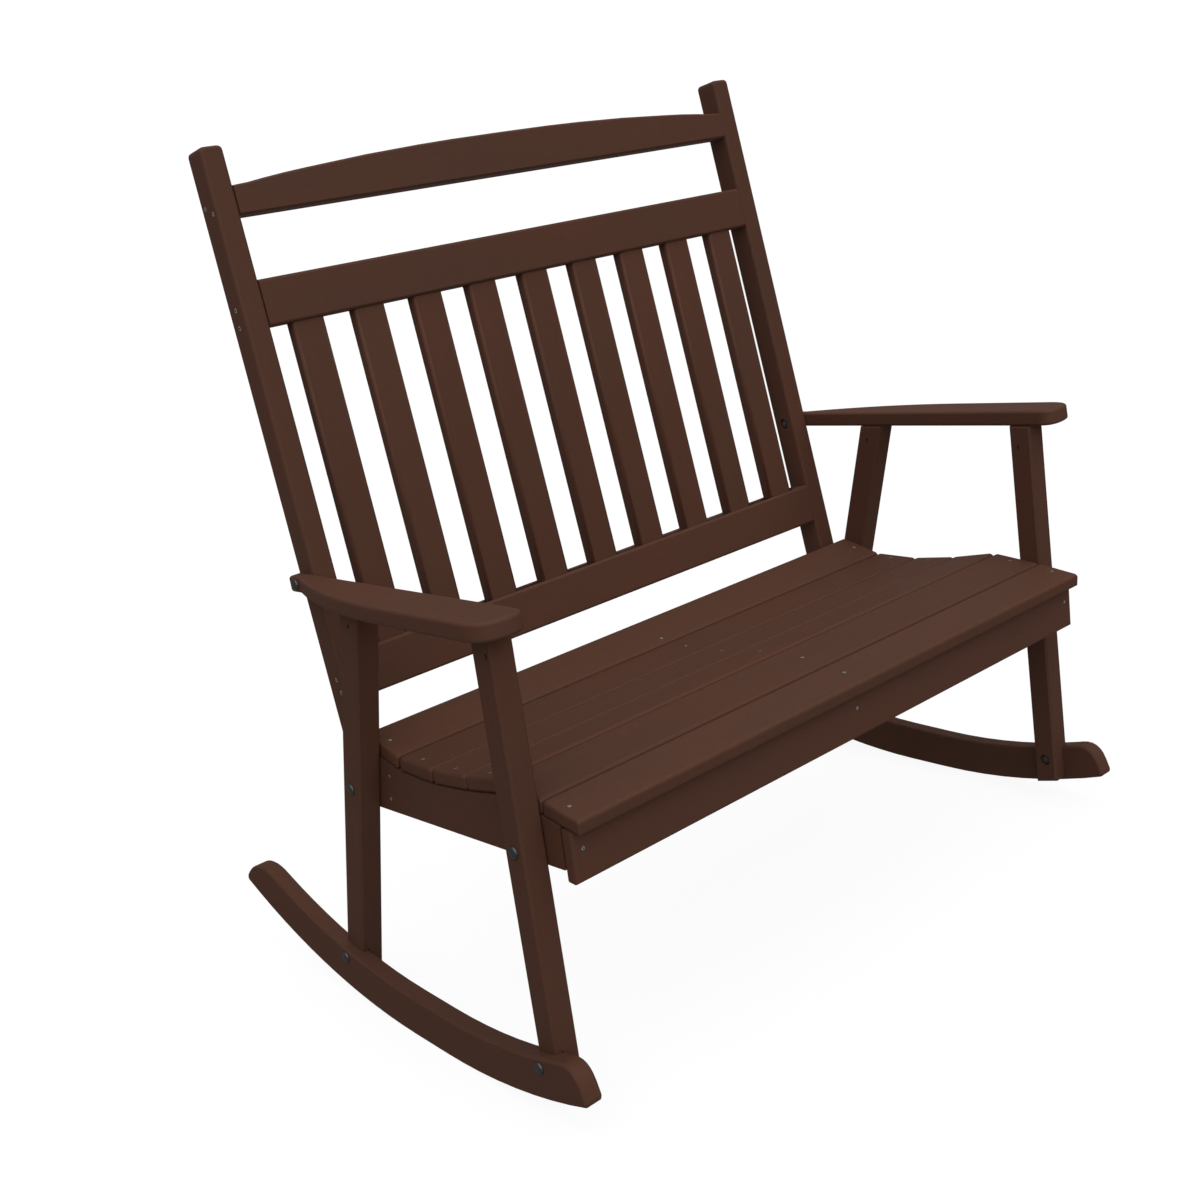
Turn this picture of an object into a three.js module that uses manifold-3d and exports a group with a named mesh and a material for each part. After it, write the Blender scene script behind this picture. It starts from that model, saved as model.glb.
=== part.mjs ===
// Two-seat rocking bench sawn from recycled-plastic lumber, bolted and screwed together.
// Millimetres, +Z up, +X across the seat, -Y towards the sitter's feet.
// Side-plane points (y, z) are measured from the rocking point, where the rockers meet the floor at rest.
import * as THREE from "three";
import { mergeVertices } from "three/addons/utils/BufferGeometryUtils.js";
import Module from "manifold-3d";

const wasm = await Module();
wasm.setup();

// Lumber and fits
const thickBoard = 37; // legs, stiles, rails and seat beams
const rockerBoard = 28;
const seatBoard = 22; // seat slats, apron and crossboard
const armBoard = 25.4;
const fit = 0.3; // clearance between pieces that touch
const ease = 3; // eased edge of every long board
const frameHalfWidth = 529; // centre line to the inner faces of the legs

// Rockers
const rockerFlatFront = 30; // the running edge is flat this far ahead of the rocking point
const rockerFlatRear = 50;
const rockerFrontRadius = 1110;
const rockerRearRadius = 1185;
const noseReach = 366;
const tailReach = 555;
const noseDepth = 57.5;
const tailDepth = 73.5;
const noseTopRound = 34;
const noseToeRound = 9;
const tailShoulder = 87; // length over which the top edge curves down to the tip
const tailShoulderCut = 26; // how far ahead of the square corner that curve turns
const tailTipHeight = 12;
const tailHeelRound = 8;
const rockerLetIn = 12.5; // depth of the rocker's housing in each leg
const footRelief = 6.5; // the legs stop this far above the rocker's running edge
const outlineStep = 42; // longest straight stretch on a curved edge

// Legs: each leg's centre line runs through its two bolts
const frontLeg = { depth: 40, foot: [-271, 73.5], seat: [-283.5, 372] };
const rearLeg = { depth: 45, foot: [232, 69], seat: [126, 366] };

// Arms
const armHeight = 660.7; // underside above the floor, at armStation
const armStation = -132;
const armRise = 1.05; // degrees, the arms rise to the front
const armFront = 359; // reach of the arms ahead of the rocking point
const armWidth = 72;
const armTailWidth = 20.5;
const armTailReach = 16; // past the bolt's axis
const armTailLength = 27; // parallel tail beside the stile
const armSweepRadius = 962;
const armOuterRound = 44;
const armInnerRound = 25;

// Back frame, leaning about the foot of the stiles; heights run up the stiles
const stileFoot = [134.8, 324.3];
const stileLength = 991.3;
const stileDepth = 46;
const stileTopRound = 9;
const backLean = 6.8; // degrees
const crestDrop = 104; // from the stiles' tops down to the crest rail's bottom edge
const crestEndHeight = 44.5;
const crestRise = 22;
const crestReachShares = [0, 0.2, 0.33, 0.53, 0.73, 0.82, 0.895, 0.95, 1]; // of half its length
const crestRiseShares = [1, 0.985, 0.93, 0.77, 0.5, 0.36, 0.2, 0.06, 0]; // of its rise
const middleRailDrop = 268.8; // from the stiles' tops down to the middle rail's bottom edge
const lowerRailBottom = 158.8;
const railHeight = 70;
const backSlatCount = 9;
const backSlatWidth = 54.5;
const backSlatBoard = 22;
const backSlatEndGap = 37.5; // from a stile to the nearest slat
const backSlatSetBack = 5;
const housingDepth = 12; // the slats' ends let into the rails

// Seat, from the top of its front edge back along the slats
const seatFrontEdge = [-380, 420.5];
const seatSlatEndGap = 1.5; // from a leg to the ends of the slats
const seatSlatTilts = [9.2, 6.8, -9.6, -6.1, 0.7, 15.4]; // degrees, rising to the back
const seatSlatWidth = 83;
const frontSlatWidth = 72;
const seatSlatGap = 3;
const apronOverhang = 16; // the front slat's reach past the apron
const apronHeight = 72;
const apronLean = 3.9; // degrees
const crossboardInset = 12.5; // from the rear slat's front edge
const crossboardHeight = 76;
const beamBottomFront = 345; // underside of the seat beams at the apron
const beamBottomSlope = 2.46; // degrees, falling to the back

// Carriage bolts and flanged nuts
const boltRadius = 4;
const boltHeadRadius = 9;
const boltHeadHeight = 4;
const boltRimHeight = 0.8;
const boltHoleClearance = 0.5;
const boltThreadPastNut = 2;
const nutAcrossFlats = 13;
const nutHeight = 7;
const nutFlangeRadius = 8.5;
const nutFlangeHeight = 1.5;
const pocketRadius = 9.5;
const pocketDepth = 10;
const roundFacets = 16;
const curveSteps = 6;
const meetingPasses = 12; // enough to settle where a leg's edge meets a curve

const lumber = new THREE.MeshStandardMaterial({ color: 0x54392d, roughness: 0.55, metalness: 0 });
const hardware = new THREE.MeshStandardMaterial({ color: 0x4c5050, roughness: 0.4, metalness: 0.9 });
const sides = { left: -1, right: 1 };

// Solids and meshes

function toSolid(geometry) {
  geometry.deleteAttribute("normal");
  geometry.deleteAttribute("uv");
  const welded = mergeVertices(geometry);
  const triVerts = new Uint32Array(welded.index.array);
  const vertProperties = welded.attributes.position.array;
  return new wasm.Manifold(new wasm.Mesh({ numProp: 3, vertProperties, triVerts }));
}

function toGeometry(solid) {
  const { vertProperties, triVerts } = solid.getMesh();
  const indexed = new THREE.BufferGeometry();
  indexed.setAttribute("position", new THREE.BufferAttribute(vertProperties, 3));
  indexed.setIndex(new THREE.BufferAttribute(triVerts, 1));
  const flatShaded = indexed.toNonIndexed();
  flatShaded.computeVertexNormals();
  return flatShaded;
}

function piece(group, name, solid, material = lumber) {
  const mesh = new THREE.Mesh(toGeometry(solid), material);
  mesh.name = name;
  group.add(mesh);
  return mesh;
}

// An outline extruded by a thickness, with its two faces' edges eased.
function sawn(outline, thickness, edge) {
  const shape = new THREE.Shape(outline);
  const flat = { depth: thickness, bevelEnabled: false };
  const eased = {
    depth: thickness - 2 * edge,
    bevelThickness: edge,
    bevelSize: edge,
    bevelOffset: -edge,
    bevelSegments: 1,
  };
  const geometry = new THREE.ExtrudeGeometry(shape, edge ? eased : flat);
  geometry.translate(0, 0, edge);
  return geometry;
}

const axisX = new THREE.Vector3(1, 0, 0);
const axisY = new THREE.Vector3(0, 1, 0);
const axisZ = new THREE.Vector3(0, 0, 1);

// A side-plane outline (y, z) as a board standing between two planes of x.
function sidePlank(outline, [xFrom, xTo], edge = ease) {
  const geometry = sawn(outline, xTo - xFrom, edge);
  geometry.translate(0, 0, xFrom);
  geometry.applyMatrix4(new THREE.Matrix4().makeBasis(axisY, axisZ, axisX));
  return toSolid(geometry);
}

// A front-plane outline (x, z) as a board between two depths of y.
function frontPlank(outline, [yFrom, yTo], edge = ease) {
  const geometry = sawn(outline, yTo - yFrom, edge);
  geometry.applyMatrix4(new THREE.Matrix4().makeBasis(axisX, axisZ, axisY.clone().negate()));
  geometry.translate(0, yTo, 0);
  return toSolid(geometry);
}

// A plan outline (x, y) as a board lying on z = 0.
function flatPlank(outline, thickness, edge = ease) {
  return toSolid(sawn(outline, thickness, edge));
}

function rectangle(xFrom, xTo, yFrom, yTo) {
  return [
    new THREE.Vector2(xFrom, yFrom),
    new THREE.Vector2(xTo, yFrom),
    new THREE.Vector2(xTo, yTo),
    new THREE.Vector2(xFrom, yTo),
  ];
}

// A rectangle with its four corners cut at 45 degrees, the section of an eased board.
function easedSection(xFrom, xTo, yFrom, yTo, edge = ease) {
  return [
    new THREE.Vector2(xFrom + edge, yFrom),
    new THREE.Vector2(xTo - edge, yFrom),
    new THREE.Vector2(xTo, yFrom + edge),
    new THREE.Vector2(xTo, yTo - edge),
    new THREE.Vector2(xTo - edge, yTo),
    new THREE.Vector2(xFrom + edge, yTo),
    new THREE.Vector2(xFrom, yTo - edge),
    new THREE.Vector2(xFrom, yFrom + edge),
  ];
}

// Points of a curve from one side of a corner to the other, in place of the corner.
function roundedCorner(before, corner, after, reach) {
  const start = corner.clone().add(before.clone().sub(corner).setLength(reach));
  const end = corner.clone().add(after.clone().sub(corner).setLength(reach));
  return new THREE.QuadraticBezierCurve(start, corner, end).getPoints(curveSteps);
}

// The two planes of x that a board lies between, on one side of the bench.
function span(sign, near, far) {
  return sign > 0 ? [near, far] : [-far, -near];
}

// A round hole along X, in the coordinates of the group that holds the drilled piece.
function hole(group, [y, z], [xFrom, xTo], radius) {
  group.updateWorldMatrix(true, false);
  const centre = group.worldToLocal(new THREE.Vector3(0, y, z));
  const drill = new THREE.CylinderGeometry(radius, radius, xTo - xFrom, roundFacets);
  drill.rotateZ(Math.PI / 2);
  drill.translate((xFrom + xTo) / 2, centre.y, centre.z);
  return toSolid(drill);
}

const radians = THREE.MathUtils.degToRad;
const bench = new THREE.Group();

// Planes of x, from the middle outwards
const innerFace = frameHalfWidth - fit - thickBoard; // stiles and seat beams
const outerFace = frameHalfWidth - fit;
const legFace = frameHalfWidth + thickBoard;
const rockerInner = legFace - rockerLetIn + fit;
const rockerOuter = rockerInner + rockerBoard;
const armTailFace = frameHalfWidth + armTailWidth;

// Rockers

function runningEdge(y) {
  const past = Math.max(0, -y - rockerFlatFront, y - rockerFlatRear);
  const radius = y < 0 ? rockerFrontRadius : rockerRearRadius;
  const slope = Math.asin(past / radius) * Math.sign(y);
  return { height: radius - Math.sqrt(radius ** 2 - past ** 2), slope };
}

// A point above the running edge, square to it, and shifted along it.
function rockerPoint(y, above, along = 0) {
  const { height, slope } = runningEdge(y);
  const x = y - above * Math.sin(slope) + along * Math.cos(slope);
  return new THREE.Vector2(x, height + above * Math.cos(slope) + along * Math.sin(slope));
}

function rockerDepth(y) {
  return THREE.MathUtils.mapLinear(y, -noseReach, tailReach, noseDepth, tailDepth);
}

function stations(from, to) {
  const count = Math.ceil(Math.abs(to - from) / outlineStep);
  return Array.from({ length: count + 1 }, (_, i) => THREE.MathUtils.lerp(from, to, i / count));
}

// The rocker's side outline, grown all round by a clearance when it cuts its housing in a leg.
function rockerOutline(grown = 0) {
  const under = (y) => rockerPoint(y, -grown);
  const over = (y) => rockerPoint(y, rockerDepth(y) + grown);
  const toe = under(-noseReach);
  const noseTop = over(-noseReach);
  const front = stations(-noseReach, -rockerFlatFront).slice(1).map(under);
  const rear = stations(rockerFlatRear, tailReach).map(under);
  const shoulderStart = over(tailReach - tailShoulder);
  const shoulderPeak = rockerPoint(tailReach, tailDepth + grown, -tailShoulderCut);
  const tip = rockerPoint(tailReach, tailTipHeight);
  const shoulder = new THREE.QuadraticBezierCurve(shoulderStart, shoulderPeak, tip).getPoints(2 * curveSteps);
  const heel = roundedCorner(rear.at(-2), rear.at(-1), tip, tailHeelRound);
  const top = stations(tailReach - tailShoulder, -noseReach).slice(1, -1).map(over);
  const nose = roundedCorner(top.at(-1), noseTop, toe, noseTopRound);
  const toeCurve = roundedCorner(noseTop, toe, front[0], noseToeRound);
  const underside = [...toeCurve, ...front, ...rear.slice(0, -1), ...heel];
  return [...underside, ...shoulder.reverse(), ...top, ...nose];
}

// Arms: a group whose floor is the arms' underside
const arms = new THREE.Group();
arms.position.set(0, armStation, armHeight);
arms.rotation.x = -radians(armRise);
bench.add(arms);

function armUnderside(y) {
  return armHeight - Math.tan(radians(armRise)) * (y - armStation);
}

// Back frame: a group standing on the stiles' feet and leaning back
const back = new THREE.Group();
back.position.set(0, ...stileFoot);
back.rotation.x = -radians(backLean);
bench.add(back);

// Where a level line at a height meets the front of the stiles, in the side plane.
function stileFront(height) {
  return stileFoot[0] + (height - stileFoot[1]) * Math.tan(radians(backLean));
}

const stileMiddle = stileDepth / 2 / Math.cos(radians(backLean));
const armMiddleHeight = armUnderside(stileFront(armHeight)) + armBoard / 2;
const armBolt = [stileFront(armMiddleHeight) + stileMiddle, armMiddleHeight];

// Each bolt's axis in the side plane, and the planes of x where its head and its nut's pocket start.
const bolts = {
  arm_stile: { axis: armBolt, head: armTailFace, pocket: innerFace },
  rear_seat: { axis: rearLeg.seat, head: legFace, pocket: innerFace },
  front_seat: { axis: frontLeg.seat, head: legFace, pocket: innerFace },
  rear_rocker: { axis: rearLeg.foot, head: rockerOuter, pocket: frameHalfWidth },
  front_rocker: { axis: frontLeg.foot, head: rockerOuter, pocket: frameHalfWidth },
};

// A piece with the clearance hole of a bolt through it.
function bored(solid, group, sign, name) {
  const reach = span(sign, 0, rockerOuter + fit);
  return solid.subtract(hole(group, bolts[name].axis, reach, boltRadius + boltHoleClearance));
}

// The inner one of two bolted pieces, bored and with the nut's pocket.
function pocketed(solid, group, sign, name) {
  const { axis, pocket } = bolts[name];
  const reach = span(sign, pocket - fit, pocket + pocketDepth);
  return bored(solid, group, sign, name).subtract(hole(group, axis, reach, pocketRadius));
}

// A leg's side outline: two parallel edges from the running edge up to the arm's underside.
function legOutline({ depth, foot, seat }) {
  const along = new THREE.Vector2(seat[0] - foot[0], seat[1] - foot[1]).normalize();
  const halfRun = depth / 2 / along.y;
  const meet = (offset, heightAt) => {
    const point = new THREE.Vector2(foot[0] + offset, foot[1]);
    for (let pass = 0; pass < meetingPasses; pass++) {
      const height = heightAt(point.x);
      point.set(foot[0] + offset + ((height - foot[1]) * along.x) / along.y, height);
    }
    return point;
  };
  const bottom = (y) => runningEdge(y).height + footRelief;
  const top = (y) => armUnderside(y) - fit;
  return [meet(-halfRun, bottom), meet(halfRun, bottom), meet(halfRun, top), meet(-halfRun, top)];
}

const base = new THREE.Group();
bench.add(base);

for (const [side, sign] of Object.entries(sides)) {
  const stock = sidePlank(rockerOutline(), span(sign, rockerInner, rockerOuter));
  const rocker = bored(stock, base, sign, "front_rocker");
  piece(base, "rocker_" + side, bored(rocker, base, sign, "rear_rocker"));
  const housing = sidePlank(rockerOutline(fit), span(sign, rockerInner - fit, rockerOuter + fit), 0);
  for (const [end, leg] of Object.entries({ front: frontLeg, rear: rearLeg })) {
    const board = sidePlank(legOutline(leg), span(sign, frameHalfWidth, legFace)).subtract(housing);
    const footed = pocketed(board, base, sign, end + "_rocker");
    piece(base, end + "_leg_" + side, bored(footed, base, sign, end + "_seat"));
  }
}

// The arm's plan: straight inner edge, outer edge sweeping out from a narrow tail to the hand rest.
function armOutline(sign) {
  const inner = frameHalfWidth;
  const tailEnd = armBolt[0] + armTailReach - armStation;
  const tailStart = tailEnd - armTailLength;
  const front = -armFront - armStation;
  const widening = armWidth - armTailWidth;
  const sweepLength = Math.sqrt(armSweepRadius ** 2 - (armSweepRadius - widening) ** 2);
  const point = (out, y) => new THREE.Vector2(sign * (inner + out), y);
  const sweep = stations(0, sweepLength).map((run) => {
    const out = armWidth - armSweepRadius + Math.sqrt(armSweepRadius ** 2 - run ** 2);
    return point(out, tailStart - sweepLength + run);
  });
  const outerCorner = point(armWidth, front);
  const innerCorner = point(0, front);
  const outerRound = roundedCorner(sweep[0], outerCorner, innerCorner, armOuterRound);
  const innerRound = roundedCorner(outerCorner, innerCorner, point(0, tailEnd), armInnerRound);
  return [...innerRound, point(0, tailEnd), point(armTailWidth, tailEnd), ...sweep.reverse(), ...outerRound];
}

for (const [side, sign] of Object.entries(sides)) {
  const board = flatPlank(armOutline(sign), armBoard);
  piece(arms, "arm_" + side, bored(board, arms, sign, "arm_stile"));
}

// Back frame pieces, in the leaning group: y is depth behind the front face, z runs up the stiles

const crestBottom = stileLength - crestDrop;
const middleRailBottom = stileLength - middleRailDrop;
const railDepths = [0, thickBoard];
const railReach = innerFace - fit;

function stileOutline() {
  const [left, right] = [innerFace, outerFace];
  const [footIn, footOut, topOut, topIn] = rectangle(left, right, 0, stileLength);
  const outerTop = roundedCorner(footOut, topOut, topIn, stileTopRound);
  const innerTop = roundedCorner(topOut, topIn, footIn, stileTopRound);
  return [footIn, footOut, ...outerTop, ...innerTop];
}

for (const [side, sign] of Object.entries(sides)) {
  const outline = stileOutline().map((point) => new THREE.Vector2(sign * point.x, point.y));
  const stile = frontPlank(outline, [0, stileDepth]);
  piece(back, "back_stile_" + side, pocketed(stile, back, sign, "arm_stile"));
}

const outerSlat = railReach - backSlatEndGap - backSlatWidth / 2;
const slatPlaces = Array.from({ length: backSlatCount }, (_, i) =>
  THREE.MathUtils.lerp(-outerSlat, outerSlat, i / (backSlatCount - 1)),
);

// A back slat's section extruded up the back; grown by a clearance when it cuts its housings.
function backSlat(middle, from, to, grown = 0) {
  const half = backSlatWidth / 2 + grown;
  const front = backSlatSetBack - grown;
  const rear = backSlatSetBack + backSlatBoard + grown;
  const geometry = sawn(easedSection(middle - half, middle + half, front, rear), to - from, 0);
  geometry.translate(0, 0, from);
  return toSolid(geometry);
}

const lowerRailTop = lowerRailBottom + railHeight;

function straightRail(bottom) {
  const section = easedSection(...railDepths, bottom, bottom + railHeight);
  return sidePlank(section, [-railReach, railReach], 0);
}

const housingFrom = lowerRailTop - housingDepth;
const housingTo = middleRailBottom + housingDepth;
const housings = slatPlaces.map((middle) => backSlat(middle, housingFrom, housingTo, fit));
const cutHousings = (rail) => housings.reduce((rest, cut) => rest.subtract(cut), rail);
piece(back, "middle_rail", cutHousings(straightRail(middleRailBottom)));
piece(back, "lower_rail", cutHousings(straightRail(lowerRailBottom)));
slatPlaces.forEach((middle, i) => {
  piece(back, "back_slat_" + (i + 1), backSlat(middle, housingFrom + fit, housingTo - fit));
});

// The crest rail's arched top flattens out where it meets the stiles.
const crestEndTop = crestBottom + crestEndHeight;

function crestOutline(overrun) {
  const end = railReach + overrun;
  const half = crestReachShares.map(
    (share, i) => new THREE.Vector2(share * railReach, crestEndTop + crestRiseShares[i] * crestRise),
  );
  const mirrored = half.slice(1).map((point) => new THREE.Vector2(-point.x, point.y));
  const arch = [...half.reverse(), ...mirrored];
  const [footLeft, footRight, topRight, topLeft] = rectangle(-end, end, crestBottom, crestEndTop);
  return [footLeft, footRight, topRight, ...arch, topLeft];
}

const crestStock = frontPlank(crestOutline(2 * ease), railDepths);
const crestBox = rectangle(-fit, thickBoard + fit, crestBottom - fit, crestEndTop + crestRise + fit);
const crestTrim = sidePlank(crestBox, [-railReach, railReach], 0);
piece(back, "crest_rail", crestStock.intersect(crestTrim));

// Seat slats: each lies at its own tilt, a gap behind the one in front

const seat = new THREE.Group();
bench.add(seat);

function direction(degrees) {
  return new THREE.Vector2(Math.cos(radians(degrees)), Math.sin(radians(degrees)));
}

// Gap along the top between two slats, wider where their undersides would otherwise meet.
function gapBetween(tilt, nextTilt) {
  const closing = 2 * seatBoard * Math.tan(radians(Math.max(0, tilt - nextTilt)) / 2);
  return Math.max(seatSlatGap, closing + 2 * fit);
}

const seatSlats = [];
let edge = new THREE.Vector2(...seatFrontEdge);
seatSlatTilts.forEach((tilt, i) => {
  const width = i === 0 ? frontSlatWidth : seatSlatWidth;
  const along = direction(tilt);
  const down = new THREE.Vector2(along.y, -along.x);
  const rear = edge.clone().addScaledVector(along, width);
  seatSlats.push({ tilt, width, along, down, front: edge, rear });
  const nextTilt = seatSlatTilts[i + 1] ?? tilt;
  const onward = direction((tilt + nextTilt) / 2);
  edge = rear.clone().addScaledVector(onward, gapBetween(tilt, nextTilt));
});

seatSlats.forEach(({ tilt, width, front, down }, i) => {
  const half = frameHalfWidth - seatSlatEndGap;
  const slat = flatPlank(rectangle(-half, half, 0, width), seatBoard);
  const mesh = piece(seat, "seat_slat_" + (i + 1), slat);
  const foot = front.clone().addScaledVector(down, seatBoard);
  mesh.position.set(0, foot.x, foot.y);
  mesh.rotation.x = radians(tilt);
});

// A point under a slat: along its underside from the front edge, and below it.
function underSlat({ front, along, down }, run, below) {
  return front.clone().addScaledVector(along, run).addScaledVector(down, seatBoard + below);
}

const frontSlat = seatSlats[0];
const rearSlat = seatSlats.at(-1);

// Apron, hung under the front slat
const apronTop = underSlat(frontSlat, apronOverhang, fit);
const apronIn = direction(apronLean);
const apronDown = new THREE.Vector2(apronIn.y, -apronIn.x);
const apron = frontPlank(rectangle(-outerFace, outerFace, -apronHeight, 0), [0, seatBoard]);
const apronMesh = piece(seat, "seat_apron", apron);
apronMesh.position.set(0, apronTop.x, apronTop.y);
apronMesh.rotation.x = radians(apronLean);

// Crossboard, square to the rear slat and between the side beams
const crossTop = underSlat(rearSlat, crossboardInset, fit);
const beamInner = innerFace - fit;
const crossboard = frontPlank(rectangle(-beamInner, beamInner, -crossboardHeight, 0), [0, seatBoard]);
const crossMesh = piece(seat, "seat_crossboard", crossboard);
crossMesh.position.set(0, crossTop.x, crossTop.y);
crossMesh.rotation.x = radians(rearSlat.tilt);

// Where two lines, each a point and a direction, cross.
function meeting(p, alongP, q, alongQ) {
  const t = q.clone().sub(p).cross(alongQ) / alongP.cross(alongQ);
  return p.clone().addScaledVector(alongP, t);
}

// Seat beams: the top edge follows the undersides of the slats
const apronBack = apronTop.clone().addScaledVector(apronIn, seatBoard + fit);
const beamFall = direction(-beamBottomSlope);
const beamFoot = new THREE.Vector2(apronBack.x, beamBottomFront);
const beamFrontBottom = meeting(apronBack, apronDown, beamFoot, beamFall);
const beamFrontTop = meeting(apronBack, apronDown, underSlat(frontSlat, 0, fit), frontSlat.along);

function beamOutline(rearPoint, rearDirection) {
  const tops = seatSlats.flatMap((slat) => [underSlat(slat, 0, fit), underSlat(slat, slat.width, fit)]);
  const rearTop = meeting(rearPoint, rearDirection, underSlat(rearSlat, 0, fit), rearSlat.along);
  const rearBottom = meeting(rearPoint, rearDirection, beamFoot, beamFall);
  const between = tops.slice(1, -1);
  const last = rearTop.x > tops.at(-1).x ? [tops.at(-1), rearTopAtStile(tops.at(-1))] : [rearTop];
  return [beamFrontBottom, rearBottom, ...last.reverse(), ...between.reverse(), beamFrontTop];
}

// Behind the rear slat the side beams run level to the stiles.
function rearTopAtStile(slatEnd) {
  return new THREE.Vector2(stileFront(slatEnd.y) - fit, slatEnd.y);
}

const stileLine = new THREE.Vector2(stileFoot[0] - fit, stileFoot[1]);
const stileUp = new THREE.Vector2(Math.sin(radians(backLean)), Math.cos(radians(backLean)));
const sideOutline = beamOutline(stileLine, stileUp);
for (const [side, sign] of Object.entries(sides)) {
  const beam = sidePlank(sideOutline, span(sign, innerFace, outerFace), 0);
  const rearBored = pocketed(beam, seat, sign, "rear_seat");
  piece(seat, "seat_side_beam_" + side, pocketed(rearBored, seat, sign, "front_seat"));
}

const crossFront = underSlat(rearSlat, crossboardInset - fit, fit);
const centreOutline = beamOutline(crossFront, rearSlat.down);
piece(seat, "seat_centre_beam", sidePlank(centreOutline, [-thickBoard / 2, thickBoard / 2], 0));

// Fasteners: carriage bolts with their heads outside, nuts in pockets inside

const fasteners = new THREE.Group();
bench.add(fasteners);

// A bolt along +X with its head's seat at x = 0 and its shank running towards -X.
function carriageBolt(shankLength) {
  const dome = new THREE.QuadraticBezierCurve(
    new THREE.Vector2(boltHeadRadius, boltRimHeight),
    new THREE.Vector2(boltHeadRadius / 2, boltHeadHeight),
    new THREE.Vector2(0, boltHeadHeight),
  );
  const profile = [
    new THREE.Vector2(0, -shankLength),
    new THREE.Vector2(boltRadius, -shankLength),
    new THREE.Vector2(boltRadius, 0),
    new THREE.Vector2(boltHeadRadius, 0),
    ...dome.getPoints(curveSteps - 1),
  ];
  const geometry = new THREE.LatheGeometry(profile, roundFacets);
  geometry.rotateZ(-Math.PI / 2);
  return toSolid(geometry);
}

// A flanged nut along X, its flange at x = 0 and its hexagon towards -X.
function flangedNut() {
  const corner = nutAcrossFlats / 2 / Math.cos(Math.PI / 6);
  const hexagon = new THREE.CylinderGeometry(corner, corner, nutHeight, 6);
  hexagon.translate(0, -nutHeight / 2, 0);
  const flange = new THREE.CylinderGeometry(nutFlangeRadius, nutFlangeRadius, nutFlangeHeight, roundFacets);
  flange.translate(0, -nutFlangeHeight / 2, 0);
  const bore = boltRadius + fit;
  const thread = new THREE.CylinderGeometry(bore, bore, 4 * nutHeight, roundFacets);
  const turned = [hexagon, flange, thread].map((geometry) => toSolid(geometry.rotateZ(-Math.PI / 2)));
  return turned[0].add(turned[1]).subtract(turned[2]);
}

for (const [name, { axis, head, pocket }] of Object.entries(bolts)) {
  const headSeat = head + fit;
  const nutSeat = pocket + pocketDepth - fit;
  const shank = headSeat - nutSeat + nutHeight + boltThreadPastNut;
  for (const [side, sign] of Object.entries(sides)) {
    const bolt = piece(fasteners, name + "_bolt_" + side, carriageBolt(shank), hardware);
    const nut = piece(fasteners, name + "_nut_" + side, flangedNut(), hardware);
    bolt.position.set(sign * headSeat, ...axis);
    nut.position.set(sign * nutSeat, ...axis);
    bolt.rotation.y = sign > 0 ? 0 : Math.PI;
    nut.rotation.y = bolt.rotation.y;
  }
}

// The part's origin is on the floor, in the middle of its own length and width
const rockingBench = new THREE.Group();
rockingBench.add(bench);
const extent = new THREE.Box3().setFromObject(bench, true);
bench.position.y = -(extent.min.y + extent.max.y) / 2;

export default rockingBench;
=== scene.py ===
"""A two-seat rocking bench of brown recycled-plastic lumber, finished for the camera.

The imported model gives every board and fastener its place. Here the boards get rounded edges, screw holes
and their surface. Geometry nodes make the back slats, bolts, nuts and screws. Lengths are in metres in the
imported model's frame: +Z up, +X across the seat, -Y towards the sitter's feet.
"""

import math

import bmesh
import bpy
from mathutils import Matrix, Vector


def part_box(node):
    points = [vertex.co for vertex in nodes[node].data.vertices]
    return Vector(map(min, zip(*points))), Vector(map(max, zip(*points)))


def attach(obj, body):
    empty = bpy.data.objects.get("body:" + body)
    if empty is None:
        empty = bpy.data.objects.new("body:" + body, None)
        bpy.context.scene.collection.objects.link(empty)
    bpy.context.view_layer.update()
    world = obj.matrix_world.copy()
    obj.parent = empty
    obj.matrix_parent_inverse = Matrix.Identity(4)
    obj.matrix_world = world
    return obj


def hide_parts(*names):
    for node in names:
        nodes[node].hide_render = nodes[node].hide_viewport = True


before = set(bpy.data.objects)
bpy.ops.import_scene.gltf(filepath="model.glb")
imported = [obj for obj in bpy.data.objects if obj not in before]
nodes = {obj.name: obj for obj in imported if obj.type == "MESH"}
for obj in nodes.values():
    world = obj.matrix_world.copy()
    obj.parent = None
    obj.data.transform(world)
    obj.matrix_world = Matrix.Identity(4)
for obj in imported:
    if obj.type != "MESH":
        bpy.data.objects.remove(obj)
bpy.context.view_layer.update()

BACK_SLATS = sorted(name for name in nodes if name.startswith("back_slat_"))
SEAT_SLATS = sorted(name for name in nodes if name.startswith("seat_slat_"))
CROSS_BOARDS = ("seat_apron", "seat_crossboard", "crest_rail", "middle_rail", "lower_rail")

MM = 0.001
ACROSS = Vector((1, 0, 0))
AHEAD = Vector((0, -1, 0))
UP = Vector((0, 0, 1))
SIDES = {"left": -1, "right": 1}

# Camera: the photograph's viewpoint and lens, fitted to the bench's corners
PHOTO_SIZE = 1200  # pixels
PHOTO_FOCAL_LENGTH = 1510.4  # pixels
PHOTO_AXIS = (583.6, 488.6)  # the pixel that the lens looks straight at
CAMERA_PLACE = Vector((-1.4989, -1.8813, 1.1641))
CAMERA_HEADING = -36.99  # degrees, to the right of straight at the back
CAMERA_DIP = 11.20
CAMERA_ROLL = -9.85
SENSOR = 36  # millimetres, the camera's own unit

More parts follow.
